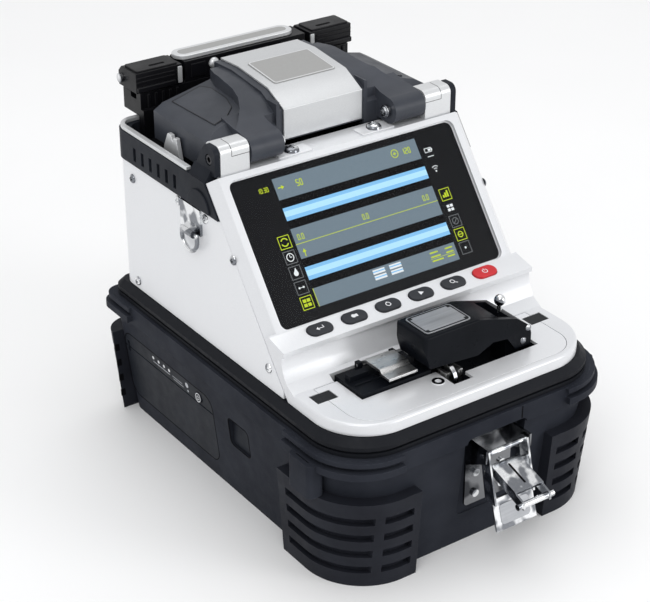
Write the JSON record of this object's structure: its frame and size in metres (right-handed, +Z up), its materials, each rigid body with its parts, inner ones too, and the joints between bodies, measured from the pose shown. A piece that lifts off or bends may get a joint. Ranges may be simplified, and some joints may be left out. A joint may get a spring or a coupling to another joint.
{
  "type": "fusion splicer",
  "caption": "Open-latched fibre fusion splicer with tilted screen, wind cover, sleeve heater, and built-in cleaver on a black shock-proof tub.",
  "frame": {"origin": "middle of the underside, on the surface that the splicer stands on", "axes": "+Z up, -Y towards the user (screen, keys and latch), +X to the user's right"},
  "size_m": [0.176, 0.2541, 0.1999],
  "materials": {
    "black_plastic": "fine grained moulding",
    "black_rubber": "satin moulded rubber",
    "pearl_shell": "fine metallic paint",
    "red_plastic": "satin",
    "silver_metal": "bead blasted",
    "steel": "brushed and polished",
    "screen_glass": "smooth",
    "lcd": "lit picture panel",
    "board": "solder mask",
    "label_grey": "printed label"
  },
  "bodies": {
    "splicer_body": {"base_tub": "black_plastic", "rim_seal": "black_rubber", "corner_bumpers": "black_plastic", "side_panel_left": "pearl_shell", "side_panel_right": "pearl_shell", "rear_panel": "pearl_shell", "power_inlet": "black_plastic", "panel_screws": "steel", "front_cover": "pearl_shell", "deck_plate": "pearl_shell", "deck_windows": "black_plastic", "screen_glass": "screen_glass", "lcd_module": "lcd", "chassis_tray": "black_plastic", "main_board": "board", "top_surround": "black_plastic", "surround_trim": "silver_metal", "hinge_knuckles": "silver_metal", "hinge_pins": "steel", "splice_stage": "black_plastic", "electrodes": "steel", "fiber_guides": "silver_metal", "heater_housing": "black_plastic", "heater_hinge_pin": "steel", "cleaver_base": "black_plastic", "arm_pivot_pin": "steel", "latch_plate": "steel", "latch_rivets": "steel", "strap_brackets": "steel", "ledge_studs": "steel"},
    "battery": {"battery_pack": "black_plastic"},
    "battery_key": {"battery_check_key": "black_plastic"},
    "battery_release": {"battery_release_button": "black_plastic"},
    "wind_cover_body": {"wind_cover": "black_plastic", "wind_cover_plate": "silver_metal", "cover_label": "label_grey"},
    "heater_clamp_left_body": {"heater_clamp_left": "black_plastic"},
    "heater_clamp_right_body": {"heater_clamp_right": "black_plastic"},
    "heater_lid_body": {"heater_lid": "black_plastic", "heater_bar": "silver_metal"},
    "fiber_stage_left_body": {"fiber_stage_left": "steel"},
    "fiber_stage_right_body": {"fiber_stage_right": "steel"},
    "fiber_clamp_left_body": {"fiber_clamp_left": "silver_metal"},
    "fiber_clamp_right_body": {"fiber_clamp_right": "silver_metal"},
    "cleaver_arm_body": {"cleaver_arm": "black_plastic", "cleaver_label": "label_grey", "cleaver_knob": "steel"},
    "blade_carriage_body": {"blade_carriage": "steel"},
    "blade_wheel_body": {"blade_wheel": "steel"},
    "holder_lid_body": {"holder_lid": "silver_metal"},
    "latch_lever_body": {"latch_lever": "steel"},
    "latch_claw_body": {"latch_claw": "steel"},
    "strap_ring_left_body": {"strap_ring_left": "steel"},
    "strap_ring_right_body": {"strap_ring_right": "steel"},
    "key_enter_body": {"key_enter": "black_plastic"},
    "key_menu_body": {"key_menu": "black_plastic"},
    "key_stop_body": {"key_stop": "black_plastic"},
    "key_run_body": {"key_run": "black_plastic"},
    "key_zoom_body": {"key_zoom": "black_plastic"},
    "key_power_body": {"key_power": "red_plastic"}
  },
  "joints": [
    {"name": "wind_cover_hinge", "type": "hinge", "parent": "splicer_body", "child": "wind_cover_body", "pos_m": [0, 0.0125, 0.1785], "axis": [1, 0, 0], "range_deg": [0, 100]},
    {"name": "heater_clamp_left_hinge", "type": "hinge", "parent": "splicer_body", "child": "heater_clamp_left_body", "pos_m": [-0.05, 0.1045, 0.1894], "axis": [-1, 0, 0], "range_deg": [0, 90]},
    {"name": "heater_clamp_right_hinge", "type": "hinge", "parent": "splicer_body", "child": "heater_clamp_right_body", "pos_m": [0.05, 0.1045, 0.1894], "axis": [-1, 0, 0], "range_deg": [0, 90]},
    {"name": "heater_lid_hinge", "type": "hinge", "parent": "splicer_body", "child": "heater_lid_body", "pos_m": [0, 0.1045, 0.1894], "axis": [-1, 0, 0], "range_deg": [0, 90]},
    {"name": "fiber_stage_left_feed", "type": "slide", "parent": "splicer_body", "child": "fiber_stage_left_body", "axis": [1, 0, 0], "range_m": [0, 0.006]},
    {"name": "fiber_clamp_left_hinge", "type": "hinge", "parent": "fiber_stage_left_body", "child": "fiber_clamp_left_body", "pos_m": [-0.045, 0.0603, 0.1724], "axis": [-1, 0, 0], "range_deg": [0, 32]},
    {"name": "fiber_stage_right_feed", "type": "slide", "parent": "splicer_body", "child": "fiber_stage_right_body", "axis": [-1, 0, 0], "range_m": [0, 0.006]},
    {"name": "fiber_clamp_right_hinge", "type": "hinge", "parent": "fiber_stage_right_body", "child": "fiber_clamp_right_body", "pos_m": [0.045, 0.0603, 0.1724], "axis": [-1, 0, 0], "range_deg": [0, 32]},
    {"name": "battery_slide", "type": "slide", "parent": "splicer_body", "child": "battery", "axis": [-1, 0, 0], "range_m": [0, 0.075]},
    {"name": "battery_key_press", "type": "slide", "parent": "battery", "child": "battery_key", "axis": [1, 0, 0], "range_m": [0, 0.001], "stiffness_N_per_m": 500},
    {"name": "battery_release_press", "type": "slide", "parent": "splicer_body", "child": "battery_release", "axis": [1, 0, 0], "range_m": [0, 0.0025], "stiffness_N_per_m": 800},
    {"name": "key_enter_press", "type": "slide", "parent": "splicer_body", "child": "key_enter_body", "axis": [0, 0.2079, -0.9781], "range_m": [0, 0.0012], "stiffness_N_per_m": 900},
    {"name": "key_menu_press", "type": "slide", "parent": "splicer_body", "child": "key_menu_body", "axis": [0, 0.2079, -0.9781], "range_m": [0, 0.0012], "stiffness_N_per_m": 900},
    {"name": "key_stop_press", "type": "slide", "parent": "splicer_body", "child": "key_stop_body", "axis": [0, 0.2079, -0.9781], "range_m": [0, 0.0012], "stiffness_N_per_m": 900},
    {"name": "key_run_press", "type": "slide", "parent": "splicer_body", "child": "key_run_body", "axis": [0, 0.2079, -0.9781], "range_m": [0, 0.0012], "stiffness_N_per_m": 900},
    {"name": "key_zoom_press", "type": "slide", "parent": "splicer_body", "child": "key_zoom_body", "axis": [0, 0.2079, -0.9781], "range_m": [0, 0.0012], "stiffness_N_per_m": 900},
    {"name": "key_power_press", "type": "slide", "parent": "splicer_body", "child": "key_power_body", "axis": [0, 0.2079, -0.9781], "range_m": [0, 0.0012], "stiffness_N_per_m": 900},
    {"name": "cleaver_arm_hinge", "type": "hinge", "parent": "splicer_body", "child": "cleaver_arm_body", "pos_m": [0.041, -0.0775, 0.0905], "axis": [0, 1, 0], "range_deg": [0, 60]},
    {"name": "blade_carriage_slide", "type": "slide", "parent": "splicer_body", "child": "blade_carriage_body", "axis": [0, 1, 0], "range_m": [-0.003, 0.01]},
    {"name": "blade_wheel_turn", "type": "hinge", "parent": "blade_carriage_body", "child": "blade_wheel_body", "pos_m": [-0.003, -0.084, 0.083], "axis": [1, 0, 0], "continuous": true},
    {"name": "holder_lid_hinge", "type": "hinge", "parent": "splicer_body", "child": "holder_lid_body", "pos_m": [-0.029, -0.063, 0.0914], "axis": [-1, 0, 0], "range_deg": [0, 80]},
    {"name": "latch_lever_hinge", "type": "hinge", "parent": "splicer_body", "child": "latch_lever_body", "pos_m": [0.007, -0.118, 0.057], "axis": [-1, 0, 0], "range_deg": [-17, 85]},
    {"name": "latch_claw_hinge", "type": "hinge", "parent": "latch_lever_body", "child": "latch_claw_body", "pos_m": [0.007, -0.1195, 0.048], "axis": [-1, 0, 0], "range_deg": [-30, 60]},
    {"name": "strap_ring_left_swing", "type": "hinge", "parent": "splicer_body", "child": "strap_ring_left_body", "pos_m": [-0.079, 0.022, 0.139], "axis": [0, 1, 0], "range_deg": [0, 95]},
    {"name": "strap_ring_right_swing", "type": "hinge", "parent": "splicer_body", "child": "strap_ring_right_body", "pos_m": [0.079, 0.022, 0.139], "axis": [0, -1, 0], "range_deg": [0, 95]}
  ]
}
